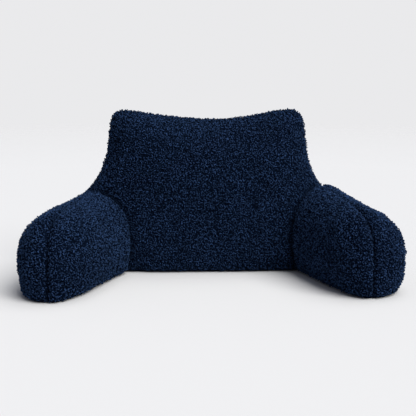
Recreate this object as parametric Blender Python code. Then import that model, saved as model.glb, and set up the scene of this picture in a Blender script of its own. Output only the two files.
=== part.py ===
"""A cuddle cushion: a backrest with two arms, stuffed and covered in teddy fleece.

Each of the three filled parts is a front and a back panel, cut to one outline, sewn along it and
stuffed. A panel starts as a grid whose points are placed by the part's own functions, and the two
panels are welded along their seam. The filling flattens where the cushion stands on the floor.

Each part has its own axes and is placed by its location and rotation under one empty. The backrest
has its own X along its width, and an arm has its own X from its root to its nose.

Metres, +Z up. The sitter faces -Y, and the arms point that way. The origin is on the floor, in the
middle of the cushion's box.
"""

import math
from collections import namedtuple

import bmesh
import bpy
from mathutils import Vector

# Backrest, by its outline seen from the front: half widths at heights above the floor
Outline = namedtuple("Outline", "height half_width")
BACK_OUTLINE = (
    Outline(-0.060, 0.334),
    Outline(0.050, 0.340),
    Outline(0.110, 0.334),
    Outline(0.150, 0.312),
    Outline(0.183, 0.276),
    Outline(0.215, 0.255),
    Outline(0.250, 0.241),
    Outline(0.290, 0.234),
    Outline(0.330, 0.229),
    Outline(0.385, 0.222),
)
BACK_MIDDLE_HEIGHT = 0.345
EAR_RISE = 0.030
EAR_POWER = 1.7
BACK_CORNER_POWER = 13.0

# Backrest, by its filling
BACK_FRONT_CROWN = 0.098
BACK_REAR_CROWN = 0.070
BACK_SEAM_Y = 0.075
BACK_LEAN = 0.10
BACK_BELOW_FLOOR = 0.050
BACK_SIDE_POWER = 3.0
BACK_TOP_POWER = 2.8
BACK_THINNING = 0.75
BACK_RIM_POWER = 7.0

# Arms: seam line from the root inside the backrest to the nose, heights of the ridge, how far it
# dips between them and by what power the dip is nearer the root, half widths either side of the
# seam, how far the outer side rolls under at the nose, and how square the top is at the root
Arm = namedtuple(
    "Arm",
    "name side root nose root_height nose_height dip dip_power inner_root inner_nose outer"
    " outer_roll top",
)
ARMS = (
    Arm(
        name="arm_left",
        side=-1,
        root=(0.252, 0.119),
        nose=(0.324, -0.262),
        root_height=0.199,
        nose_height=0.173,
        dip=0.011,
        dip_power=2.0,
        inner_root=0.117,
        inner_nose=0.070,
        outer=0.088,
        outer_roll=0.25,
        top=3.6,
    ),
    Arm(
        name="arm_right",
        side=1,
        root=(0.255, 0.119),
        nose=(0.330, -0.243),
        root_height=0.209,
        nose_height=0.175,
        dip=0.009,
        dip_power=1.0,
        inner_root=0.102,
        inner_nose=0.066,
        outer=0.101,
        outer_roll=0.80,
        top=2.8,
    ),
)
ARM_BELOW_FLOOR = 0.065
ARM_ROLL_UNDER = 0.80
ARM_ROOT_POWER = 10.0
ARM_NOSE_POWER = 4.5
ARM_NOSE_TOP = 2.7
ARM_OUTER_SLOPE = 0.60

# Sewing and settling
SEAM_DEPTH = 0.004
FLOOR_SOFTNESS = 0.016
SEWN_GAP = 0.0003

# Grid cells of one panel
BACK_CELLS = (40, 30)
ARM_CELLS = (26, 22)

NAVY = (0.011, 0.024, 0.062, 1.0)
CLOTH_ROUGHNESS = 0.95
WELD = 0.00001


def read_outline(height):
    """Half width of the backrest at a height, on a smooth curve through the outline's rows."""
    last = len(BACK_OUTLINE) - 1
    below = sum(1 for row in BACK_OUTLINE if row.height <= height) - 1
    index = max(0, min(last - 1, below))
    before = BACK_OUTLINE[max(0, index - 1)]
    low = BACK_OUTLINE[index]
    high = BACK_OUTLINE[index + 1]
    after = BACK_OUTLINE[min(last, index + 2)]
    span = high.height - low.height
    slope_low = (high.half_width - before.half_width) / (high.height - before.height) * span
    slope_high = (after.half_width - low.half_width) / (after.height - low.height) * span
    t = min(1.0, max(0.0, (height - low.height) / span))
    ease = t * t * (3 - 2 * t)
    value = low.half_width * (1 - ease) + high.half_width * ease
    return value + (t**3 - 2 * t**2 + t) * slope_low + (t**3 - t**2) * slope_high


def even_out(value):
    """Spaces a grid's lines closer together towards its rim, where a stuffed panel turns in."""
    return math.sin(math.pi / 2 * value)


def settled(height):
    """Height of a stuffed form that stands on the floor: flat where it would sink below it."""
    if height <= -FLOOR_SOFTNESS:
        return 0.0
    if height >= FLOOR_SOFTNESS:
        return height
    return (height + FLOOR_SOFTNESS) ** 2 / (4 * FLOOR_SOFTNESS)


def on_seam(along, up):
    """Whether a place on a square panel is on its rim."""
    return max(abs(along), abs(up)) > 1 - 1e-6


def backrest_crown(along, up):
    """Share of the backrest's crown at a place on a panel: 1 in the middle, 0 on the seam."""
    thin = (1 - BACK_THINNING * abs(along) ** BACK_SIDE_POWER)
    thin *= (1 - BACK_THINNING * abs(up) ** BACK_TOP_POWER)
    rim = (abs(along) ** BACK_CORNER_POWER + abs(up) ** BACK_CORNER_POWER) ** (1 / BACK_CORNER_POWER)
    return math.sqrt(thin * max(0.0, 1 - rim**BACK_RIM_POWER))


def round_corners(along, up, along_power, up_power):
    """Moves a place on a square panel so that the panel's corners are round. Its rim then runs
    where the two powers of along and up add up to 1."""
    reach = max(abs(along), abs(up))
    if reach < 1e-9:
        return along, up
    low, high = 0.5, 1.0
    for _ in range(30):
        scale = (low + high) / 2
        if abs(scale * along / reach) ** along_power + abs(scale * up / reach) ** up_power > 1:
            high = scale
        else:
            low = scale
    return along * low, up * low


def backrest_point(along, up, facing):
    """A point of the backrest in its own axes: along runs left to right, up from floor to top, and
    facing is -1 on the front panel and +1 on the rear one."""
    sewn = SEAM_DEPTH if on_seam(along, up) else 0.0
    along, up = round_corners(along, up, BACK_CORNER_POWER, BACK_CORNER_POWER)
    crown = 0.0
    if not sewn:
        crown = backrest_crown(along, up) * (BACK_FRONT_CROWN if facing < 0 else BACK_REAR_CROWN)
    top = BACK_MIDDLE_HEIGHT + EAR_RISE * abs(along) ** EAR_POWER
    height = (up + 1) / 2 * (top + BACK_BELOW_FLOOR) - BACK_BELOW_FLOOR
    half_width = read_outline(height) - sewn
    height -= sewn * max(0.0, up)
    depth = BACK_LEAN * max(0.0, height) + facing * crown
    return Vector((along * half_width, depth, settled(height)))


def arm_point(arm, along, up, facing):
    """A point of an arm in its own axes: along runs from root to nose, up from floor to ridge, and
    facing is -1 on the inner panel and +1 on the outer one."""
    sewn = SEAM_DEPTH if on_seam(along, up) else 0.0
    along_power = ARM_NOSE_POWER if along > 0 else ARM_ROOT_POWER
    up_power = arm.top + (ARM_NOSE_TOP - arm.top) * (along + 1) / 2
    along, up = round_corners(along, up, along_power, up_power)
    share = (along + 1) / 2
    ridge = arm.root_height + (arm.nose_height - arm.root_height) * share
    ridge -= arm.dip * math.sin(math.pi * (1 - share) ** arm.dip_power)
    height = (up + 1) / 2 * (ridge + ARM_BELOW_FLOOR) - ARM_BELOW_FLOOR - sewn * max(0.0, up)
    reach = share * math.dist(arm.root, arm.nose) - sewn * max(0.0, along)
    crown = 0.0
    if not sewn:
        crown = math.sqrt(max(0.0, 1 - abs(along) ** along_power - abs(up) ** up_power))
    if facing < 0:
        crown *= arm.inner_root + (arm.inner_nose - arm.inner_root) * share
        crown *= 1 - ARM_ROLL_UNDER * share * max(0.0, -up)
    else:
        crown *= arm.outer * (1 - ARM_OUTER_SLOPE * (1 - share) * max(0.0, up) ** 2)
        crown *= 1 - arm.outer_roll * share * max(0.0, -up) ** 2
    return Vector((reach, arm.side * facing * crown, settled(height)))


def sewn_panels(name, cells, point):
    """One closed mesh object from two panels that share a seam. point(along, up, facing) places
    each of their grid points."""
    mesh = bpy.data.meshes.new(name)
    body = bmesh.new()
    for facing in (-1, 1):
        made = bmesh.ops.create_grid(body, x_segments=cells[0], y_segments=cells[1], size=1)
        for vert in made["verts"]:
            vert.co = point(even_out(vert.co.x), even_out(vert.co.y), facing)
    bmesh.ops.remove_doubles(body, verts=body.verts, dist=WELD)
    bmesh.ops.recalc_face_normals(body, faces=body.faces)
    bmesh.ops.triangulate(body, faces=body.faces, quad_method="SHORT_EDGE")
    body.to_mesh(mesh)
    body.free()
    mesh.shade_smooth()
    return bpy.data.objects.new(name, mesh)


def cut_by_neighbour(piece, neighbour, cutters):
    """Cuts the piece back to a sewn gap from its neighbour's surface."""
    cutter = bpy.data.objects.new(piece.name + "_cutter", neighbour.data.copy())
    cutter.parent = neighbour
    cutters.objects.link(cutter)
    cutter.hide_render = True
    cutter.display_type = "WIRE"
    swell = cutter.modifiers.new("gap", "DISPLACE")
    swell.mid_level = 0
    swell.strength = SEWN_GAP
    cut = piece.modifiers.new("root", "BOOLEAN")
    cut.operation = "DIFFERENCE"
    cut.solver = "EXACT"
    cut.object = cutter


def teddy_fleece(name):
    """The material of a part's cover."""
    material = bpy.data.materials.new(name)
    material.use_nodes = True
    shader = material.node_tree.nodes["Principled BSDF"]
    shader.inputs["Base Color"].default_value = NAVY
    shader.inputs["Roughness"].default_value = CLOTH_ROUGHNESS
    shader.inputs["Metallic"].default_value = 0.0
    return material


def made_backrest():
    """The backrest, placed on its seam line."""
    backrest = sewn_panels("backrest", BACK_CELLS, backrest_point)
    backrest.location.y = BACK_SEAM_Y
    return backrest


def made_arm(arm):
    """An arm, placed at its root and turned towards its nose."""
    piece = sewn_panels(arm.name, ARM_CELLS, lambda along, up, facing: arm_point(arm, along, up, facing))
    piece.location = (arm.side * arm.root[0], arm.root[1], 0)
    outwards = arm.side * (arm.nose[0] - arm.root[0])
    piece.rotation_euler.z = math.atan2(arm.nose[1] - arm.root[1], outwards)
    return piece


def centre_on_floor(holder, pieces):
    """Moves the empty that holds the pieces, so that the middle of their box is over the origin."""
    points = [piece.matrix_basis @ vert.co for piece in pieces for vert in piece.data.vertices]
    holder.location.x = -(min(p.x for p in points) + max(p.x for p in points)) / 2
    holder.location.y = -(min(p.y for p in points) + max(p.y for p in points)) / 2


def build():
    """Makes the cushion's parts."""
    for old in list(bpy.data.objects):
        bpy.data.objects.remove(old)
    parts = bpy.data.collections.new("cuddle_cushion")
    cutters = bpy.data.collections.new("cutters")
    bpy.context.scene.collection.children.link(parts)
    bpy.context.scene.collection.children.link(cutters)
    holder = bpy.data.objects.new("cushion_holder", None)
    parts.objects.link(holder)
    backrest = made_backrest()
    arms = [made_arm(arm) for arm in ARMS]
    pieces = [backrest, *arms]
    centre_on_floor(holder, pieces)
    for piece in pieces:
        piece.parent = holder
        parts.objects.link(piece)
        piece.data.materials.append(teddy_fleece(piece.name + "_fleece"))
    for piece in arms:
        cut_by_neighbour(piece, backrest, cutters)


build()
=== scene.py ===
"""A reading backrest in navy teddy fleece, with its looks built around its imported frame.

The frame's three plain solids give the cushion's size and place. Here each of them becomes a
stuffed body: a copy of the solid is drawn in to leave room for the pile, blown up by a short cloth
simulation with its seams held, creased along its seams and sunk where the stuffing is slack. A pile
of curled tufts is then grown on each body with Geometry Nodes. Its tips stand up to about 4 mm past
the solid.

Metres, +Z up. The sitter faces -Y.
"""

import logging
import math
from dataclasses import dataclass
from enum import Enum
from typing import Any, Optional, Sequence, Union

import bmesh
import bpy
import numpy as np
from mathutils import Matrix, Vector, noise
from mathutils.bvhtree import BVHTree


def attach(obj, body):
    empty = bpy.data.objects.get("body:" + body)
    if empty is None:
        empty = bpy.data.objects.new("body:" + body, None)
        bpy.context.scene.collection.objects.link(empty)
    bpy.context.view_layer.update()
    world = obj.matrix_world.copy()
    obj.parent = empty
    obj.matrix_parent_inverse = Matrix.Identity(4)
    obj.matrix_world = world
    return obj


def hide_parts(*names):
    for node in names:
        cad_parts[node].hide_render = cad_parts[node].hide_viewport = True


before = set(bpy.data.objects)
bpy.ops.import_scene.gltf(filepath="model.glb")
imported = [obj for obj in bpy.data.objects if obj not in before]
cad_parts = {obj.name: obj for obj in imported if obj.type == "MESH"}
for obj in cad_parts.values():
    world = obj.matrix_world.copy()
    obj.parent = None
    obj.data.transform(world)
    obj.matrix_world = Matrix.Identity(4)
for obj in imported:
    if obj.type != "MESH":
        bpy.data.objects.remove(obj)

log = logging.getLogger("cushion")

BODY = "root"

# How deep the stuffed bodies lie in the frame's solids, to leave room for most of the pile
PILE_DEPTH = 0.0024
# How much deeper than that a body's surface may lie after its simulation
SHELL_TOLERANCE = 0.0006
# Lowest height of any cloth above the floor plane
FLOOR_CLEARANCE = 0.0006
# Points nearer than this to a neighbour's solid are inside a joint, where no pile grows
JOINT_REACH = 0.0012
# How far from a joint its painted shade reaches on the cloth, how dark it is, and how far it is felt
JOINT_SHADE_REACH = 0.006
JOINT_SHADE = 0.85
JOINT_SHADE_END = 3 * JOINT_SHADE_REACH
# How near two points of a frame's solid lie that are one
WELD = 0.00001
# A point of a solid whose normal points down more than this belongs to its base
BASE_FACING = -0.5
# Cloth that points down more than this, lower than this, is on the base, where no pile grows
BARE_BASE_FACING = -0.6
BARE_BASE_HEIGHT = 0.006
# How far from its body a solid's surface is looked for
SEARCH_REACH = 0.1
# Up to this height of the solid's surface a body stays where its simulation left it
SHELL_FOOT = 0.004
# Depths smaller than this can't be scaled
SMALLEST_DEPTH = 0.0002
# Up to this height the cloth's creases grow to their full depth
CREASE_FOOT = 0.012
# The part of a half sine wave that a slack place's depth follows: its start and its length
SLACK_WAVE_START = 0.15
SLACK_WAVE_LENGTH = 0.7
# Guards against a division by nothing, for lengths in metres and for directions
TINY_LENGTH = 1e-9
TINY_DIRECTION = 1e-6
MILLIMETRES_IN_METRE = 1000
# The attribute that holds the painted shade in seams and joints, by how deep in them the cloth lies
PAINTED_FOLD_ATTRIBUTE = "fold_shade"
# The attribute that says which way the cloth under a tuft faces
GROUND = "ground_facing"
# The attributes that say how high on its tuft a point is, for the painted shade at the roots, how
# pale the tuft is, and how far from the middle of its curl it stands, for the painted shade in the
# pits
PAINTED_ROOT_ATTRIBUTE = "lift"
TONE = "tone"
PAINTED_PIT_ATTRIBUTE = "pit"


class Part(Enum):
    """The cushion's filled parts, by their names in the frame."""

    BACKREST = "backrest"
    LEFT_ARM = "arm_left"
    RIGHT_ARM = "arm_right"


class Side(Enum):
    """Which part of a body a pile grows on, by the attribute that holds its density."""

    BOTH = "pile"
    BEFORE_LEFT = "pile_before_left"
    BEFORE_RIGHT = "pile_before_right"
    BEHIND = "pile_behind"


@dataclass(frozen=True)
class Seam:
    """A sewn seam in a flat plane, along which a stuffed body is drawn in.

    In front of fade_start it has its full strength, and behind fade_end only the share faded of it.
    A seam with a depth below 0 is a raised one.
    """

    point: tuple[float, float, float]
    normal: tuple[float, float, float]
    depth: float = 0.007
    half_width: float = 0.0042
    bare_half_width: float = 0.0025
    # How dark the painted shade along the seam is
    shade: float = 1.0
    fade_start: float = -0.11
    fade_end: float = -0.01
    faded: float = 0.15

    def offsets(self, points: np.ndarray) -> np.ndarray:
        """Gives the signed distances of points from the seam's plane.

        Args:
            points: Positions, one row each.

        Returns:
            One distance for each row.
        """
        normal = np.array(Vector(self.normal).normalized())
        return (points - np.array(self.point)) @ normal

    def strength(self, points: np.ndarray) -> np.ndarray:
        """Gives how strong the seam is, as it fades towards the back.

        Args:
            points: Positions, one row each.

        Returns:
            One share for each row, from 0 to 1.
        """
        run = (points[:, 1] - self.fade_start) / (self.fade_end - self.fade_start)
        return 1.0 - (1.0 - self.faded) * np.clip(run, 0, 1)

    def draw(self, points: np.ndarray) -> np.ndarray:
        """Gives how far the seam draws the cloth in.

        Args:
            points: Positions, one row each.

        Returns:
            One depth for each row.
        """
        trough = np.exp(-((self.offsets(points) / self.half_width) ** 2))
        return self.depth * self.strength(points) * trough

    def painted_fold(self, points: np.ndarray) -> np.ndarray:
        """Gives the painted shade in the seam, by how deep in it points lie.

        Args:
            points: Positions, one row each.

        Returns:
            One share for each row, from 0 to 1.
        """
        trough = np.exp(-((self.offsets(points) / self.half_width) ** 2))
        return self.shade * self.strength(points) * trough


@dataclass(frozen=True)
class Slack:
    """A shallow trough where the stuffing is slack, along a straight line on a panel."""

    start: tuple[float, float, float]
    end: tuple[float, float, float]
    half_width: float
    depth: float

    def draw(self, points: np.ndarray) -> np.ndarray:
        """Gives how far the trough sinks under the cloth.

        Args:
            points: Positions, one row each.

        Returns:
            One depth for each row.
        """
        start = np.array(self.start)
        run = np.array(self.end) - start
        share = np.clip((points - start) @ run / (run @ run), 0, 1)
        gap = np.linalg.norm(points - start - share[:, None] * run, axis=1)
        fade = np.sin(np.pi * (SLACK_WAVE_START + SLACK_WAVE_LENGTH * share))
        return self.depth * fade * np.exp(-((gap / self.half_width) ** 2))


class MeshTools:
    """Small steps on meshes that the pieces share."""

    @staticmethod
    def points(mesh: bpy.types.Mesh) -> np.ndarray:
        """Reads a mesh's points.

        Args:
            mesh: The mesh.

        Returns:
            Positions, one row each.
        """
        flat = np.zeros(len(mesh.vertices) * 3)
        mesh.vertices.foreach_get("co", flat)
        return flat.reshape(-1, 3)

    @staticmethod
    def normals(mesh: bpy.types.Mesh) -> np.ndarray:
        """Reads the normals at a mesh's points.

        Args:
            mesh: The mesh.

        Returns:
            Unit vectors, one row each.
        """
        flat = np.zeros(len(mesh.vertices) * 3, np.float32)
        mesh.vertex_normals.foreach_get("vector", flat)
        return flat.reshape(-1, 3).astype(float)

    @staticmethod
    def place(mesh: bpy.types.Mesh, points: np.ndarray) -> None:
        """Moves a mesh's points.

        Args:
            mesh: The mesh.
            points: New positions, one row each.
        """
        mesh.vertices.foreach_set("co", points.astype(np.float32).ravel())
        mesh.update()

    @staticmethod
    def store(mesh: bpy.types.Mesh, name: str, values: np.ndarray) -> None:
        """Stores one number for each point of a mesh.

        Args:
            mesh: The mesh.
            name: The attribute's name.
            values: One number for each point.
        """
        layer = mesh.attributes.new(name, "FLOAT", "POINT")
        layer.data.foreach_set("value", values.astype(np.float32))

    @staticmethod
    def link(name: str, mesh: bpy.types.Mesh) -> bpy.types.Object:
        """Puts a mesh into the scene.

        Args:
            name: The new object's name.
            mesh: Its mesh.

        Returns:
            The object.
        """
        piece = bpy.data.objects.new(name, mesh)
        bpy.context.scene.collection.objects.link(piece)
        return piece

    @staticmethod
    def apply(piece: bpy.types.Object) -> None:
        """Makes what an object's modifiers give its own plain mesh.

        Args:
            piece: The object.
        """
        graph = bpy.context.evaluated_depsgraph_get()
        made = bpy.data.meshes.new_from_object(piece.evaluated_get(graph))
        made.name = piece.name
        piece.modifiers.clear()
        piece.data = made

    @staticmethod
    def tree(mesh: bpy.types.Mesh) -> BVHTree:
        """Makes a search tree of a mesh's faces.

        Args:
            mesh: The mesh.

        Returns:
            The tree.
        """
        corners = [tuple(vert.co) for vert in mesh.vertices]
        faces = [tuple(face.vertices) for face in mesh.polygons]
        return BVHTree.FromPolygons(corners, faces)


@dataclass(frozen=True)
class Filling:
    """How a part is stuffed, how its cloth simulation runs and how it is smoothed.

    The voxel is the size of the remesh, slack the share by which the cloth is too large, and
    largest_move the limit of a point's move. The uneven stuffing has a depth of sag, lumps about
    sag_span wide, and lies lower on average by the share sunken.
    """

    voxel: float
    fill: float = 0.7
    pressure: float = 4.0
    slack: float = 0.02
    largest_move: float = 0.006
    frames: int = 20
    ease: float = 0.5
    ease_rounds: int = 3
    sag: float = 0.0022
    sag_span: float = 0.075
    sunken: float = 0.1


@dataclass
class StuffedPart:
    """One of the cushion's filled parts, as a fleece body without its pile."""

    part: Part
    filling: Filling
    seams: Sequence[Seam]
    slacks: Sequence[Slack] = ()
    noise_offset: float = 0.0

    def build(self, finish: "GroundFinish", neighbours: Sequence[Part]) -> bpy.types.Object:
        """Args:
            finish: The cloth's finish under the pile.
            neighbours: The parts that it is sewn to.

        Returns:
            The body, which stands for the frame's solid.
        """
        body = self.drawn_in_copy()
        self.remesh(body)
        self.blow_up(body)
        self.smooth(body)
        self.keep_in_shell(body)
        self.shape(body)
        self.mark_pile(body, neighbours)
        body.data.materials.clear()
        body.data.materials.append(finish.material())
        body.data.shade_smooth()
        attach(body, BODY)
        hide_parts(self.part.value)
        log.info("%s: %d faces", body.name, len(body.data.polygons))
        return body

    def drawn_in_copy(self) -> bpy.types.Object:
        """Copies the frame's solid and draws it in to leave room for the pile.

        Returns:
            The new object. Its base stays where it was.
        """
        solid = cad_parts[self.part.value]
        mesh = bpy.data.meshes.new(self.part.value + "_body")
        work = bmesh.new()
        work.from_mesh(solid.data)
        bmesh.ops.remove_doubles(work, verts=work.verts, dist=WELD)
        bmesh.ops.recalc_face_normals(work, faces=work.faces)
        work.normal_update()
        moves = [(vert, vert.normal.copy()) for vert in work.verts]
        for vert, normal in moves:
            move = normal * -PILE_DEPTH
            if normal.z < BASE_FACING:
                move.z = 0
            vert.co += move
        work.to_mesh(mesh)
        work.free()
        return MeshTools.link(mesh.name, mesh)

    def remesh(self, body: bpy.types.Object) -> None:
        """Gives the body an even mesh that cloth can be simulated on.

        Args:
            body: The body.
        """
        voxels = body.modifiers.new("even", "REMESH")
        voxels.mode = "VOXEL"
        voxels.voxel_size = self.filling.voxel
        MeshTools.apply(body)

    def blow_up(self, body: bpy.types.Object) -> None:
        """Blows the body up as cloth whose seams are held, then limits each point's move.

        Args:
            body: The body.
        """
        start = MeshTools.points(body.data)
        held = body.vertex_groups.new(name="held")
        for seam in self.seams:
            near = np.nonzero(np.abs(seam.offsets(start)) < self.filling.voxel)[0]
            held.add(near.tolist(), 1.0, "REPLACE")
        floor = np.nonzero(start[:, 2] < self.filling.voxel)[0]
        held.add(floor.tolist(), 1.0, "REPLACE")
        cloth = body.modifiers.new("cloth", "CLOTH")
        settings = cloth.settings
        settings.use_pressure = True
        settings.uniform_pressure_force = self.filling.pressure
        settings.effector_weights.gravity = 0
        settings.vertex_group_mass = held.name
        settings.shrink_min = -self.filling.slack
        settings.shrink_max = -self.filling.slack
        cloth.point_cache.frame_end = self.filling.frames
        scene = bpy.context.scene
        for number in range(1, self.filling.frames + 1):
            scene.frame_set(number)
        graph = bpy.context.evaluated_depsgraph_get()
        shown = body.evaluated_get(graph).to_mesh()
        move = MeshTools.points(shown) - start
        body.evaluated_get(graph).to_mesh_clear()
        body.modifiers.clear()
        scene.frame_set(1)
        length = np.linalg.norm(move, axis=1)
        limit = self.filling.largest_move
        kept = limit * np.tanh(length / limit) / np.maximum(length, TINY_LENGTH)
        MeshTools.place(body.data, start + move * kept[:, None])
        farthest = float(length.max()) * MILLIMETRES_IN_METRE
        log.info("%s: cloth moved by up to %.1f mm before its limit", body.name, farthest)

    def smooth(self, body: bpy.types.Object) -> None:
        """Takes the voxels' steps off the body and refines it.

        Args:
            body: The body.
        """
        ease = body.modifiers.new("ease", "SMOOTH")
        ease.factor = self.filling.ease
        ease.iterations = self.filling.ease_rounds
        finer = body.modifiers.new("finer", "SUBSURF")
        finer.levels = 1
        finer.render_levels = 1
        MeshTools.apply(body)

    def keep_in_shell(self, body: bpy.types.Object) -> None:
        """Keeps the body inside the frame's solid, at the pile's depth or a tolerance deeper.

        Args:
            body: The body.
        """
        solid = MeshTools.tree(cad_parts[self.part.value].data)
        points = MeshTools.points(body.data)
        for index, point in enumerate(points):
            near, normal, _, gap = solid.find_nearest(Vector(point), SEARCH_REACH)
            if near is None or near.z < SHELL_FOOT:
                continue
            depth = gap if (Vector(point) - near).dot(normal) < 0 else -gap
            wanted = min(max(depth, PILE_DEPTH), PILE_DEPTH + SHELL_TOLERANCE)
            away = Vector(point) - near
            if abs(depth) > SMALLEST_DEPTH:
                points[index] = near + away * (wanted / depth)
        MeshTools.place(body.data, points)

    def shape(self, body: bpy.types.Object) -> None:
        """Draws the seams in, sinks the slack places and makes the stuffing uneven.

        Args:
            body: The body.
        """
        points = MeshTools.points(body.data)
        normals = MeshTools.normals(body.data)
        draw = np.zeros(len(points))
        for feature in (*self.seams, *self.slacks):
            draw = draw + feature.draw(points)
        span = self.filling.sag_span
        shift = Vector((self.noise_offset, 0, 0))
        lumps = [noise.noise(Vector(point) / span + shift) for point in points]
        draw = draw + self.filling.sag * (self.filling.sunken - np.array(lumps))
        standing = np.clip(points[:, 2] / CREASE_FOOT, 0, 1)
        points = points - normals * (draw * standing)[:, None]
        points[:, 2] = np.maximum(points[:, 2], FLOOR_CLEARANCE)
        MeshTools.place(body.data, points)

    def mark_pile(self, body: bpy.types.Object, neighbours: Sequence[Part]) -> None:
        """Stores where pile grows, and the painted shade in seams and joints.

        None grows in seams, in joints or on the base.

        Args:
            body: The body.
            neighbours: The parts that it is sewn to.
        """
        points = MeshTools.points(body.data)
        normals = MeshTools.normals(body.data)
        share = np.ones(len(points))
        painted_fold = np.zeros(len(points))
        for seam in self.seams:
            bare_half_widths = seam.bare_half_width * seam.strength(points)
            share[np.abs(seam.offsets(points)) < bare_half_widths] = 0.0
            painted_fold = np.maximum(painted_fold, seam.painted_fold(points))
        share[(normals[:, 2] < BARE_BASE_FACING) & (points[:, 2] < BARE_BASE_HEIGHT)] = 0.0
        for other in neighbours:
            solid = MeshTools.tree(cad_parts[other.value].data)
            for index, point in enumerate(points):
                _, _, _, gap = solid.find_nearest(Vector(point), JOINT_SHADE_END)
                if gap is not None:
                    # Painted shade near the joint, where the neighbour shades the cloth
                    shade = JOINT_SHADE * math.exp(-((gap / JOINT_SHADE_REACH) ** 2))
                    painted_fold[index] = max(painted_fold[index], shade)
                    if gap < JOINT_REACH:
                        share[index] = 0.0
        behind = self.seams[0].offsets(points) > 0
        left = points[:, 0] < 0
        MeshTools.store(body.data, PAINTED_FOLD_ATTRIBUTE, painted_fold)
        MeshTools.store(body.data, Side.BOTH.value, share)
        MeshTools.store(body.data, Side.BEFORE_LEFT.value, share * (~behind & left))
        MeshTools.store(body.data, Side.BEFORE_RIGHT.value, share * (~behind & ~left))
        MeshTools.store(body.data, Side.BEHIND.value, share * behind)


@dataclass(frozen=True)
class Tuft:
    """A curl of the pile: a short bent strand that rises from the cloth and dips back to it.

    Its height follows a half sine wave from wave_start on, over wave_length of it, and the whole
    strand is sunk by the share sunk of its width. It thins towards its ends by the share taper. Its
    direction at a point is taken over a step to each side, and it bends by straightest at least.
    """

    length: float
    width: float
    rise: float
    bend: float
    rings: int = 3
    sides: int = 3
    wave_start: float = 0.1
    wave_length: float = 0.8
    sunk: float = 0.25
    taper: float = 0.25
    straightest: float = 0.001
    step: float = 0.05

    def path(self, share: float) -> Vector:
        """Gives a point of the strand's middle line.

        Args:
            share: How far along the strand, from 0 to 1.

        Returns:
            The point, with the cloth at height 0.
        """
        turn = (share - 0.5) * self.bend
        radius = self.length / max(abs(self.bend), self.straightest)
        wave = math.sin(math.pi * (self.wave_start + self.wave_length * share))
        height = self.rise * wave - self.sunk * self.width
        return Vector((radius * math.sin(turn), radius * (math.cos(turn) - 1), height))

    def mesh(self, name: str) -> bpy.types.Mesh:
        """Makes the strand as a closed mesh.

        Args:
            name: The mesh's name.

        Returns:
            The mesh, with an attribute of each point's share of its height, for the painted root
            shade.
        """
        work = bmesh.new()
        loops = []
        for ring in range(self.rings):
            share = (ring + 1) / (self.rings + 1)
            middle = self.path(share)
            along = (self.path(share + self.step) - self.path(share - self.step)).normalized()
            across = along.cross(Vector((0, 0, 1))).normalized()
            over = across.cross(along)
            radius = self.width / 2 * (1.0 - self.taper * abs(2 * share - 1))
            loop = []
            for side in range(self.sides):
                angle = 2 * math.pi * (side + 0.5) / self.sides
                spoke = across * math.cos(angle) + over * math.sin(angle)
                loop.append(work.verts.new(middle + spoke * radius))
            loops.append(loop)
        for first, second in zip(loops, loops[1:]):
            for side in range(self.sides):
                after = (side + 1) % self.sides
                work.faces.new((first[side], first[after], second[after], second[side]))
        for loop, share in ((loops[0], 0.0), (loops[-1], 1.0)):
            tip = work.verts.new(self.path(share))
            for side in range(self.sides):
                work.faces.new((loop[side], loop[(side + 1) % self.sides], tip))
        bmesh.ops.recalc_face_normals(work, faces=work.faces)
        made = bpy.data.meshes.new(name)
        work.to_mesh(made)
        work.free()
        made.shade_smooth()
        heights = MeshTools.points(made)[:, 2]
        low, high = heights.min(), heights.max()
        MeshTools.store(made, PAINTED_ROOT_ATTRIBUTE, (heights - low) / (high - low))
        return made


@dataclass(frozen=True)
class Pile:
    """The teddy pile of one part of a body.

    Tufts stand a spacing apart or more, at sizes from smallest to largest. They are lowered between
    curls of curl_width, by curl_depth times the distance from the curl's middle in curl widths.
    Their normals are the cloth's own by the share evenness.
    """

    name: str
    side: Side
    seed: int
    spacing: float = 0.0029
    smallest: float = 0.80
    largest: float = 1.20
    curl_width: float = 0.0050
    curl_depth: float = 0.0030
    evenness: float = 0.35

    def build(
        self, body: bpy.types.Object, grower: "PileGrower", finish: "PileFinish"
    ) -> bpy.types.Object:
        """Grows the pile as a piece of its own.

        Args:
            body: The body that it grows on.
            grower: The Geometry Nodes tree that places the tufts.
            finish: The pile's finish.

        Returns:
            The pile.
        """
        piece = MeshTools.link(self.name, body.data.copy())
        grower.grow(piece, self, finish.material())
        points = MeshTools.points(piece.data)
        points[:, 2] = np.maximum(points[:, 2], FLOOR_CLEARANCE)
        MeshTools.place(piece.data, points)
        piece.data.shade_smooth()
        self.face_with_cloth(piece.data)
        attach(piece, BODY)
        piece.data.calc_loop_triangles()
        log.info("%s: %d triangles", piece.name, len(piece.data.loop_triangles))
        return piece

    def face_with_cloth(self, mesh: bpy.types.Mesh) -> None:
        """Turns the tufts' normals towards the cloth's, so that the fine pile is lit as a whole.

        Args:
            mesh: The pile's mesh.
        """
        flat = np.zeros(len(mesh.vertices) * 3, np.float32)
        mesh.attributes[GROUND].data.foreach_get("vector", flat)
        facing = MeshTools.normals(mesh) * (1.0 - self.evenness)
        facing = facing + flat.reshape(-1, 3) * self.evenness
        length = np.maximum(np.linalg.norm(facing, axis=1), TINY_DIRECTION)
        facing = facing / length[:, None]
        mesh.normals_split_custom_set_from_vertices(facing)
        mesh.attributes.remove(mesh.attributes[GROUND])


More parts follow.
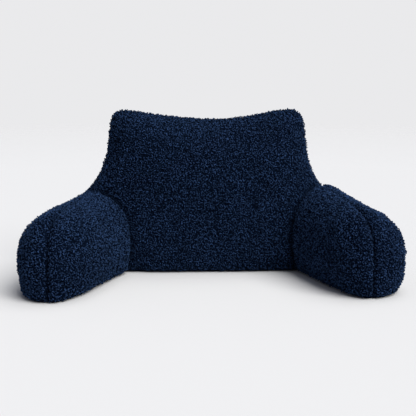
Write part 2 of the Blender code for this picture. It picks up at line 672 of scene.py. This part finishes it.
class NodeTree:
    """Adds nodes to a node tree, each with its settings and inputs in one call."""

    def __init__(self, tree: bpy.types.NodeTree) -> None:
        """Starts on a tree.

        Args:
            tree: The tree to add to.
        """
        self.tree = tree

    def node(
        self,
        kind: str,
        settings: Optional[dict[str, Any]] = None,
        sockets: Optional[dict[Union[str, int], Any]] = None,
    ) -> bpy.types.Node:
        """Adds a node.

        Args:
            kind: The node's type.
            settings: Its properties.
            sockets: Its inputs by name or number: sockets to link, or plain values.

        Returns:
            The node.
        """
        made = self.tree.nodes.new(kind)
        for key, value in (settings or {}).items():
            setattr(made, key, value)
        for key, value in (sockets or {}).items():
            target = self.pick(made.inputs, key)
            if isinstance(value, Value):
                value = value.socket
            if isinstance(value, bpy.types.NodeSocket):
                self.tree.links.new(value, target)
            else:
                target.default_value = value
        return made

    @staticmethod
    def pick(sockets: Any, key: Union[str, int]) -> bpy.types.NodeSocket:
        """Finds a socket among those in use.

        Args:
            sockets: A node's inputs or outputs.
            key: The socket's name or number.

        Returns:
            The socket.
        """
        if isinstance(key, int):
            return sockets[key]
        return next(socket for socket in sockets if socket.name == key and socket.enabled)

    def attribute(self, name: str) -> "Value":
        """Reads a number that is stored on the surface.

        Args:
            name: The attribute's name.

        Returns:
            The number.
        """
        made = self.node("ShaderNodeAttribute", {"attribute_name": name})
        return Value(self, made.outputs["Fac"])

    def noise(self, scale: float, detail: float, distortion: float = 0.0) -> "Value":
        """Adds noise on object coordinates.

        Args:
            scale: How fine it is.
            detail: Its number of finer octaves.
            distortion: How far it is warped.

        Returns:
            The noise, around 0.5.
        """
        coords = self.node("ShaderNodeTexCoord").outputs["Object"]
        sockets = {"Vector": coords, "Scale": scale, "Detail": detail, "Distortion": distortion}
        return Value(self, self.node("ShaderNodeTexNoise", None, sockets).outputs["Fac"])

    def bump(self, strength: float, distance: float, height: "Value") -> bpy.types.NodeSocket:
        """Adds a bump.

        Args:
            strength: Its share of the full effect.
            distance: The height that it stands for, in metres.
            height: What varies over the surface.

        Returns:
            The bumped normal.
        """
        sockets = {"Strength": strength, "Distance": distance, "Height": height}
        return self.node("ShaderNodeBump", None, sockets).outputs["Normal"]


class Value:
    """A number inside a shader, on which plain arithmetic adds math nodes."""

    def __init__(self, tree: NodeTree, socket: bpy.types.NodeSocket) -> None:
        """Wraps a socket.

        Args:
            tree: The tree that the socket is in.
            socket: An output that gives a number.
        """
        self.tree = tree
        self.socket = socket

    def math(self, operation: str, *others: Any) -> "Value":
        """Adds a math node that starts with this number.

        Args:
            operation: The math node's operation.
            others: Its other inputs.

        Returns:
            The result.
        """
        sockets = dict(enumerate((self, *others)))
        made = self.tree.node("ShaderNodeMath", {"operation": operation}, sockets)
        return Value(self.tree, made.outputs[0])

    def reflected(self, operation: str, other: float) -> "Value":
        """Adds a math node that ends with this number.

        Args:
            operation: The math node's operation.
            other: Its first input.

        Returns:
            The result.
        """
        made = self.tree.node("ShaderNodeMath", {"operation": operation}, {0: other, 1: self})
        return Value(self.tree, made.outputs[0])

    def __add__(self, other: Any) -> "Value":
        """Adds."""
        return self.math("ADD", other)

    def __radd__(self, other: float) -> "Value":
        """Adds to a plain number."""
        return self.reflected("ADD", other)

    def __sub__(self, other: Any) -> "Value":
        """Subtracts."""
        return self.math("SUBTRACT", other)

    def __rsub__(self, other: float) -> "Value":
        """Subtracts from a plain number."""
        return self.reflected("SUBTRACT", other)

    def __mul__(self, other: Any) -> "Value":
        """Multiplies."""
        return self.math("MULTIPLY", other)

    def __rmul__(self, other: float) -> "Value":
        """Multiplies a plain number."""
        return self.reflected("MULTIPLY", other)

    def __truediv__(self, other: Any) -> "Value":
        """Divides."""
        return self.math("DIVIDE", other)

    def __rtruediv__(self, other: float) -> "Value":
        """Divides a plain number."""
        return self.reflected("DIVIDE", other)

    def __pow__(self, other: Any) -> "Value":
        """Raises to a power."""
        return self.math("POWER", other)

    def clamped(self) -> "Value":
        """Keeps the number between 0 and 1.

        Returns:
            The result.
        """
        return self.math("MINIMUM", 1.0).math("MAXIMUM", 0.0)


class PileGrower:
    """A Geometry Nodes tree that scatters tufts over a surface."""

    # The tufts for each square metre before those that stand too near are taken out
    DENSITY = 130000.0
    # How far a tuft may lean to any side and turn, in radians
    LEAN = 0.45
    TWIST = 0.9
    # The swirls that the pile is combed in: their scale, and how far they turn it in radians
    SWIRL_SCALE = 42.0
    SWIRL_TURN = 18.0
    LEAN_SEED = 11
    SIZE_SEED = 12
    CHOICE_SEED = 13
    TONE_SEED = 14

    def __init__(self, tufts: Sequence[Tuft]) -> None:
        """Makes the tufts and the tree.

        Args:
            tufts: The shapes to scatter.
        """
        self.collection = bpy.data.collections.new("tufts")
        for number, tuft in enumerate(tufts):
            name = f"tuft_{number}"
            self.collection.objects.link(bpy.data.objects.new(name, tuft.mesh(name)))
        self.count = len(tufts)
        self.group = bpy.data.node_groups.new("grow_pile", "GeometryNodeTree")
        self.sockets: dict[str, str] = {}
        self.wire()

    def wire(self) -> None:
        """Adds the tree's inputs and nodes."""
        face = self.group.interface
        for name, kind in (
            ("Surface", "NodeSocketGeometry"),
            ("Tufts", "NodeSocketCollection"),
            ("Where", "NodeSocketString"),
            ("Spacing", "NodeSocketFloat"),
            ("Smallest", "NodeSocketFloat"),
            ("Largest", "NodeSocketFloat"),
            ("Curl Width", "NodeSocketFloat"),
            ("Curl Depth", "NodeSocketFloat"),
            ("Seed", "NodeSocketInt"),
            ("Material", "NodeSocketMaterial"),
        ):
            made = face.new_socket(name, in_out="INPUT", socket_type=kind)
            self.sockets[name] = made.identifier
        face.new_socket("Pile", in_out="OUTPUT", socket_type="NodeSocketGeometry")
        tree = NodeTree(self.group)
        given = tree.node("NodeGroupInput").outputs
        share = tree.node(
            "GeometryNodeInputNamedAttribute", {"data_type": "FLOAT"}, {"Name": given["Where"]}
        )
        points = tree.node(
            "GeometryNodeDistributePointsOnFaces",
            {"distribute_method": "POISSON"},
            {
                "Mesh": given["Surface"],
                "Distance Min": given["Spacing"],
                "Density Max": self.DENSITY,
                "Density Factor": NodeTree.pick(share.outputs, "Attribute"),
                "Seed": given["Seed"],
            },
        )
        curls = tree.node(
            "ShaderNodeTexVoronoi",
            None,
            {
                "Vector": tree.node("GeometryNodeInputPosition").outputs[0],
                "Scale": tree.node(
                    "ShaderNodeMath", {"operation": "DIVIDE"}, {0: 1.0, 1: given["Curl Width"]}
                ).outputs[0],
            },
        )
        deep = tree.node(
            "ShaderNodeMath",
            {"operation": "MULTIPLY"},
            {0: NodeTree.pick(curls.outputs, "Distance"), 1: given["Curl Depth"]},
        )
        sunken = tree.node(
            "ShaderNodeVectorMath",
            {"operation": "SCALE"},
            {0: points.outputs["Normal"], "Scale": deep.outputs[0]},
        )
        lowered = tree.node(
            "ShaderNodeVectorMath", {"operation": "SCALE"}, {0: sunken.outputs[0], "Scale": -1.0}
        )
        settled = tree.node(
            "GeometryNodeSetPosition",
            None,
            {"Geometry": points.outputs["Points"], "Offset": lowered.outputs[0]},
        )
        lean = tree.node(
            "FunctionNodeRandomValue",
            {"data_type": "FLOAT_VECTOR"},
            {
                "Min": (-self.LEAN, -self.LEAN, -self.TWIST),
                "Max": (self.LEAN, self.LEAN, self.TWIST),
                "Seed": self.LEAN_SEED,
            },
        )
        swirl = tree.node(
            "ShaderNodeTexNoise",
            None,
            {
                "Vector": tree.node("GeometryNodeInputPosition").outputs[0],
                "Scale": self.SWIRL_SCALE,
                "Detail": 1.0,
            },
        )
        heading = tree.node(
            "ShaderNodeVectorMath",
            {"operation": "SCALE"},
            {0: (0.0, 0.0, 1.0), "Scale": self.SWIRL_TURN},
        )
        combed = tree.node(
            "ShaderNodeVectorMath",
            {"operation": "MULTIPLY_ADD"},
            {
                0: heading.outputs[0],
                1: NodeTree.pick(swirl.outputs, "Fac"),
                2: NodeTree.pick(lean.outputs, "Value"),
            },
        )
        turned = tree.node(
            "FunctionNodeRotateRotation",
            {"rotation_space": "LOCAL"},
            {0: points.outputs["Rotation"], 1: combed.outputs[0]},
        )
        size = tree.node(
            "FunctionNodeRandomValue",
            {"data_type": "FLOAT"},
            {"Min": given["Smallest"], "Max": given["Largest"], "Seed": self.SIZE_SEED},
        )
        choice = tree.node(
            "FunctionNodeRandomValue",
            {"data_type": "INT"},
            {"Min": 0, "Max": self.count - 1, "Seed": self.CHOICE_SEED},
        )
        picked = tree.node(
            "GeometryNodeCollectionInfo",
            None,
            {"Collection": given["Tufts"], "Separate Children": True, "Reset Children": True},
        )
        grown = tree.node(
            "GeometryNodeInstanceOnPoints",
            None,
            {
                "Points": settled.outputs[0],
                "Instance": picked.outputs[0],
                "Pick Instance": True,
                "Instance Index": NodeTree.pick(choice.outputs, "Value"),
                "Rotation": turned.outputs[0],
                "Scale": NodeTree.pick(size.outputs, "Value"),
            },
        )
        tone = tree.node(
            "FunctionNodeRandomValue",
            {"data_type": "FLOAT"},
            {"Min": 0.0, "Max": 1.0, "Seed": self.TONE_SEED},
        )
        # Each tuft's random tone, its distance from its curl's middle for the painted shade in the
        # pits, and the cloth's facing
        for name, kind, value in (
            (TONE, "FLOAT", NodeTree.pick(tone.outputs, "Value")),
            (PAINTED_PIT_ATTRIBUTE, "FLOAT", NodeTree.pick(curls.outputs, "Distance")),
            (GROUND, "FLOAT_VECTOR", points.outputs["Normal"]),
        ):
            grown = tree.node(
                "GeometryNodeStoreNamedAttribute",
                {"data_type": kind, "domain": "INSTANCE"},
                {"Geometry": grown.outputs[0], "Name": name, "Value": value},
            )
        real = tree.node("GeometryNodeRealizeInstances", None, {0: grown.outputs[0]})
        dressed = tree.node(
            "GeometryNodeSetMaterial",
            None,
            {"Geometry": real.outputs[0], "Material": given["Material"]},
        )
        tree.node("NodeGroupOutput", None, {0: dressed.outputs[0]})

    def grow(self, piece: bpy.types.Object, pile: Pile, material: bpy.types.Material) -> None:
        """Turns a copy of a body into its pile.

        Args:
            piece: The copy.
            pile: The pile's settings.
            material: The pile's material.
        """
        grown = piece.modifiers.new("grow", "NODES")
        grown.node_group = self.group
        values = {
            "Tufts": self.collection,
            "Where": pile.side.value,
            "Spacing": pile.spacing,
            "Smallest": pile.smallest,
            "Largest": pile.largest,
            "Curl Width": pile.curl_width,
            "Curl Depth": pile.curl_depth,
            "Seed": pile.seed,
            "Material": material,
        }
        for name, value in values.items():
            grown[self.sockets[name]] = value
        MeshTools.apply(piece)


class Finish:
    """What all finishes share: one material each, made once."""

    name = "finish"

    def material(self) -> bpy.types.Material:
        """Makes the finish's material, or finds it if it is made already.

        Returns:
            The material.
        """
        found = bpy.data.materials.get(self.name)
        if found is None:
            found = bpy.data.materials.new(self.name)
            found.use_nodes = True
            found.node_tree.nodes.clear()
            self.wire(NodeTree(found.node_tree))
        return found

    def wire(self, tree: NodeTree) -> None:
        """Adds the material's nodes.

        Args:
            tree: The material's empty tree.
        """
        raise NotImplementedError


@dataclass(frozen=True)
class PileFinish(Finish):
    """Curled fleece with tufts of uneven tone, and painted shade at the roots, in the pits between
    curls and in seams and joints.

    How pale a tuft is at a point is a product. It holds the share root_pale and more with the height
    to the power contrast, which paints the shade at the roots, the tuft's own random tone, the
    painted shade of the pits and of seams and joints, and two noises of random tone, each of which
    goes from its low value over its range.
    """

    # Dark end of the mix: painted shade of roots, pits, seams and joints, and darker random tones
    painted_shade_and_dark_tone_color: tuple[float, float, float, float] = (0.0010, 0.0026, 0.0075, 1.0)
    tip_color: tuple[float, float, float, float] = (0.035, 0.076, 0.190, 1.0)
    root_pale: float = 0.2
    tip_gain: float = 0.8
    contrast: float = 1.6
    dark_share: float = 0.80
    darkest: float = 0.45
    painted_pit_start: float = 0.25
    painted_pit_end: float = 0.90
    painted_pit_shade: float = 0.90
    fold_shade: float = 0.90
    drift_scale: float = 14.0
    drift_low: float = 0.7
    drift_range: float = 0.6
    clump_scale: float = 85.0
    clump_low: float = 0.9
    clump_range: float = 0.2
    fibre_scale: float = 1500.0
    fibre_strength: float = 0.5
    fibre_height: float = 0.0006
    roughness: float = 0.95
    specular: float = 0.03
    sheen: float = 0.07
    sheen_roughness: float = 0.5
    sheen_color: tuple[float, float, float, float] = (0.25, 0.52, 1.0, 1.0)
    name: str = "fleece_pile"

    def wire(self, tree: NodeTree) -> None:
        """Adds the material's nodes.

        Args:
            tree: The material's empty tree.
        """
        drift = tree.noise(self.drift_scale, detail=2.0)
        clump = tree.noise(self.clump_scale, detail=1.0)
        # Painted shade in the pits between curls, darker the farther a tuft stands from its curl's
        # middle
        pit = tree.attribute(PAINTED_PIT_ATTRIBUTE)
        pit = ((pit - self.painted_pit_start) / (self.painted_pit_end - self.painted_pit_start)).clamped()
        tone = (tree.attribute(TONE) / self.dark_share).clamped()
        bright = tone * (1.0 - self.darkest) + self.darkest
        bright = bright * (1.0 - pit * self.painted_pit_shade)
        # Painted shade towards the tufts' roots, by height on the tuft
        pale = (tree.attribute(PAINTED_ROOT_ATTRIBUTE) * self.tip_gain + self.root_pale) ** self.contrast * bright
        pale = pale * (self.drift_low + drift * self.drift_range)
        pale = pale * (self.clump_low + clump * self.clump_range)
        # Painted shade in seams and joints
        pale = pale * (1.0 - tree.attribute(PAINTED_FOLD_ATTRIBUTE) * self.fold_shade)
        color = tree.node(
            "ShaderNodeMix",
            {"data_type": "RGBA"},
            {"Factor": pale.clamped(), "A": self.painted_shade_and_dark_tone_color, "B": self.tip_color},
        )
        fibres = tree.noise(self.fibre_scale, detail=3.0)
        shader = tree.node(
            "ShaderNodeBsdfPrincipled",
            None,
            {
                "Base Color": NodeTree.pick(color.outputs, "Result"),
                "Roughness": self.roughness,
                "Sheen Weight": self.sheen,
                "Sheen Roughness": self.sheen_roughness,
                "Sheen Tint": self.sheen_color,
                "Specular IOR Level": self.specular,
                "Normal": tree.bump(self.fibre_strength, self.fibre_height, fibres),
            },
        )
        tree.node("ShaderNodeOutputMaterial", None, {"Surface": shader.outputs["BSDF"]})


@dataclass(frozen=True)
class GroundFinish(Finish):
    """The knitted ground under the pile: navy, darkened like the pile's roots as painted shade, and
    clumped.
    """

    # Both colours lie far below the tips' colour as painted shade under the pile; clumps mix them at
    # random
    deep_color: tuple[float, float, float, float] = (0.0010, 0.0025, 0.0070, 1.0)
    light_color: tuple[float, float, float, float] = (0.0040, 0.0090, 0.0240, 1.0)
    clump_scale: float = 210.0
    clump_warp: float = 1.5
    clump_start: float = 0.35
    clump_gain: float = 2.5
    clump_strength: float = 0.9
    clump_height: float = 0.003
    roughness: float = 0.95
    name: str = "fleece_ground"

    def wire(self, tree: NodeTree) -> None:
        """Adds the material's nodes.

        Args:
            tree: The material's empty tree.
        """
        warp = tree.noise(self.clump_scale, detail=2.0, distortion=self.clump_warp)
        clumps = (warp - self.clump_start) * self.clump_gain
        color = tree.node(
            "ShaderNodeMix",
            {"data_type": "RGBA"},
            {"Factor": clumps.clamped(), "A": self.deep_color, "B": self.light_color},
        )
        shader = tree.node(
            "ShaderNodeBsdfPrincipled",
            None,
            {
                "Base Color": NodeTree.pick(color.outputs, "Result"),
                "Roughness": self.roughness,
                "Specular IOR Level": 0.0,
                "Normal": tree.bump(self.clump_strength, self.clump_height, warp),
            },
        )
        tree.node("ShaderNodeOutputMaterial", None, {"Surface": shader.outputs["BSDF"]})


@dataclass(frozen=True)
class FloorFinish(Finish):
    """Plain pale studio paper, which fades into the backdrop far from the cushion."""

    color: tuple[float, float, float, float] = (0.755, 0.752, 0.748, 1.0)
    fade_start: float = 2.2
    fade_end: float = 5.0
    roughness: float = 0.9
    specular: float = 0.1
    name: str = "studio_paper"

    def wire(self, tree: NodeTree) -> None:
        """Adds the material's nodes.

        Args:
            tree: The material's empty tree.
        """
        coords = tree.node("ShaderNodeTexCoord").outputs["Object"]
        length = tree.node("ShaderNodeVectorMath", {"operation": "LENGTH"}, {0: coords})
        reach = Value(tree, NodeTree.pick(length.outputs, "Value"))
        fade = ((reach - self.fade_start) / (self.fade_end - self.fade_start)).clamped()
        paper = tree.node(
            "ShaderNodeBsdfPrincipled",
            None,
            {
                "Base Color": self.color,
                "Roughness": self.roughness,
                "Specular IOR Level": self.specular,
            },
        )
        clear = tree.node("ShaderNodeBsdfTransparent")
        mixed = tree.node(
            "ShaderNodeMixShader",
            None,
            {0: fade, 1: paper.outputs["BSDF"], 2: clear.outputs["BSDF"]},
        )
        tree.node("ShaderNodeOutputMaterial", None, {"Surface": mixed.outputs["Shader"]})


@dataclass(frozen=True)
class Lamp:
    """A distant soft light, by where it stands as seen from the cushion."""

    name: str
    azimuth: float
    elevation: float
    strength: float
    spread: float
    color: tuple[float, float, float] = (1.0, 1.0, 1.0)
    distance: float = 3.0

    def build(self) -> None:
        """Adds the light to the scene."""
        data = bpy.data.lights.new(self.name, "SUN")
        data.energy = self.strength
        data.angle = math.radians(self.spread)
        data.color = self.color
        lamp = bpy.data.objects.new(self.name, data)
        turn = math.radians(self.azimuth)
        rise = math.radians(self.elevation)
        level = math.cos(rise)
        away = Vector((math.sin(turn) * level, -math.cos(turn) * level, math.sin(rise)))
        lamp.rotation_mode = "QUATERNION"
        lamp.rotation_quaternion = away.to_track_quat("Z", "Y")
        lamp.location = away * self.distance
        bpy.context.scene.collection.objects.link(lamp)


@dataclass(frozen=True)
class Studio:
    """The pale floor, the soft light and the camera."""

    floor_half_size: float = 6.0
    floor_cells: int = 8
    backdrop: tuple[float, float, float, float] = (0.822, 0.822, 0.836, 1.0)
    ambient: tuple[float, float, float, float] = (0.17, 0.18, 0.22, 1.0)
    camera_azimuth: float = -1.5
    camera_distance: float = 1.87
    camera_height: float = 0.47
    camera_pitch: float = 9.5
    camera_yaw: float = 0.28
    lens: float = 75.0
    lamps: tuple[Lamp, ...] = (
        Lamp("key", 42.0, 47.0, 2.85, 45.0, (1.0, 0.995, 0.98)),
        Lamp("top", 115.0, 73.0, 1.10, 50.0),
    )

    def build(self, finish: FloorFinish) -> None:
        """Adds the studio to the scene.

        Args:
            finish: The floor's finish.
        """
        self.add_floor(finish)
        self.add_backdrop()
        for lamp in self.lamps:
            lamp.build()
        self.add_camera()
        bpy.context.scene.view_settings.view_transform = "Standard"

    def add_floor(self, finish: FloorFinish) -> None:
        """Adds the floor, just under the cushion's base.

        Args:
            finish: The floor's finish.
        """
        mesh = bpy.data.meshes.new("floor")
        work = bmesh.new()
        cells = self.floor_cells
        bmesh.ops.create_grid(work, x_segments=cells, y_segments=cells, size=self.floor_half_size)
        work.to_mesh(mesh)
        work.free()
        mesh.materials.append(finish.material())
        MeshTools.link("floor", mesh)

    def add_backdrop(self) -> None:
        """Makes the world an even pale backdrop."""
        world = bpy.data.worlds.new("backdrop")
        world.use_nodes = True
        world.node_tree.nodes.clear()
        tree = NodeTree(world.node_tree)
        lit = tree.node("ShaderNodeBackground", None, {"Color": self.ambient})
        seen = tree.node("ShaderNodeBackground", None, {"Color": self.backdrop})
        direct = tree.node("ShaderNodeLightPath").outputs["Is Camera Ray"]
        mixed = tree.node(
            "ShaderNodeMixShader", None, {0: direct, 1: lit.outputs[0], 2: seen.outputs[0]}
        )
        tree.node("ShaderNodeOutputWorld", None, {"Surface": mixed.outputs["Shader"]})
        bpy.context.scene.world = world

    def add_camera(self) -> None:
        """Adds the camera at the photo's viewing angle."""
        data = bpy.data.cameras.new("camera")
        data.lens = self.lens
        camera = bpy.data.objects.new("camera", data)
        turn = math.radians(self.camera_azimuth)
        camera.location = (
            math.sin(turn) * self.camera_distance,
            -math.cos(turn) * self.camera_distance,
            self.camera_height,
        )
        camera.rotation_euler = (
            math.radians(90 - self.camera_pitch),
            0,
            turn + math.radians(self.camera_yaw),
        )
        bpy.context.scene.collection.objects.link(camera)
        bpy.context.scene.camera = camera


class Cushion:
    """The whole cushion: three stuffed parts and their piles."""

    # The seam between the backrest's two panels leans back with height
    BACK_SEAM = Seam(
        point=(0, 0.1218, 0),
        normal=(0, 1, -0.10),
        depth=-0.0020,
        half_width=0.0070,
        bare_half_width=0.0008,
        shade=0.35,
        faded=1.0,
    )
    LEFT_SEAM = Seam(point=(-0.3326, -0.2152, 0), normal=(-0.9826, 0.1857, 0))
    RIGHT_SEAM = Seam(point=(0.3214, -0.1962, 0), normal=(0.9792, 0.2029, 0))

    PARTS = (
        StuffedPart(
            Part.BACKREST,
            Filling(voxel=0.0080, sag=0.004, sag_span=0.11),
            (BACK_SEAM,),
            (
                Slack((-0.15, 0.038, 0.10), (-0.07, 0.040, 0.045), 0.014, 0.0045),
                Slack((-0.11, 0.037, 0.13), (-0.05, 0.038, 0.075), 0.013, 0.0035),
                Slack((0.0, 0.036, 0.15), (0.004, 0.040, 0.05), 0.014, 0.003),
                Slack((0.10, 0.040, 0.22), (0.16, 0.037, 0.12), 0.016, 0.003),
            ),
            noise_offset=3.1,
        ),
        StuffedPart(Part.LEFT_ARM, Filling(voxel=0.0068), (LEFT_SEAM,), noise_offset=7.7),
        StuffedPart(
            Part.RIGHT_ARM,
            Filling(voxel=0.0068),
            (RIGHT_SEAM,),
            (Slack((0.258, 0.165, 0.198), (0.264, 0.095, 0.195), 0.020, 0.0045),),
            noise_offset=12.4,
        ),
    )

    PILES = {
        Part.BACKREST: (
            Pile("backrest_pile_front_left", Side.BEFORE_LEFT, seed=3),
            Pile("backrest_pile_front_right", Side.BEFORE_RIGHT, seed=8),
            Pile("backrest_pile_rear", Side.BEHIND, seed=4, spacing=0.0031),
        ),
        Part.LEFT_ARM: (Pile("arm_left_pile", Side.BOTH, seed=5),),
        Part.RIGHT_ARM: (Pile("arm_right_pile", Side.BOTH, seed=6),),
    }

    TUFTS = (
        Tuft(length=0.0058, width=0.0025, rise=0.0040, bend=1.2),
        Tuft(length=0.0066, width=0.0024, rise=0.0034, bend=2.1),
        Tuft(length=0.0054, width=0.0026, rise=0.0046, bend=-1.6),
        Tuft(length=0.0064, width=0.0024, rise=0.0036, bend=-2.6),
        Tuft(length=0.0050, width=0.0026, rise=0.0050, bend=0.5),
    )

    def build(self) -> None:
        """Makes every piece of the cushion."""
        ground = GroundFinish()
        fleece = PileFinish()
        grower = PileGrower(self.TUFTS)
        for maker in self.PARTS:
            others = [other for other in Part if other is not maker.part]
            if maker.part is not Part.BACKREST:
                others = [Part.BACKREST]
            body = maker.build(ground, others)
            for pile in self.PILES[maker.part]:
                pile.build(body, grower, fleece)


def main() -> None:
    """Builds the scene."""
    logging.basicConfig(level=logging.INFO, format="%(name)s: %(message)s")
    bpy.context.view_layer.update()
    Studio().build(FloorFinish())
    Cushion().build()


if __name__ == "__main__":
    main()
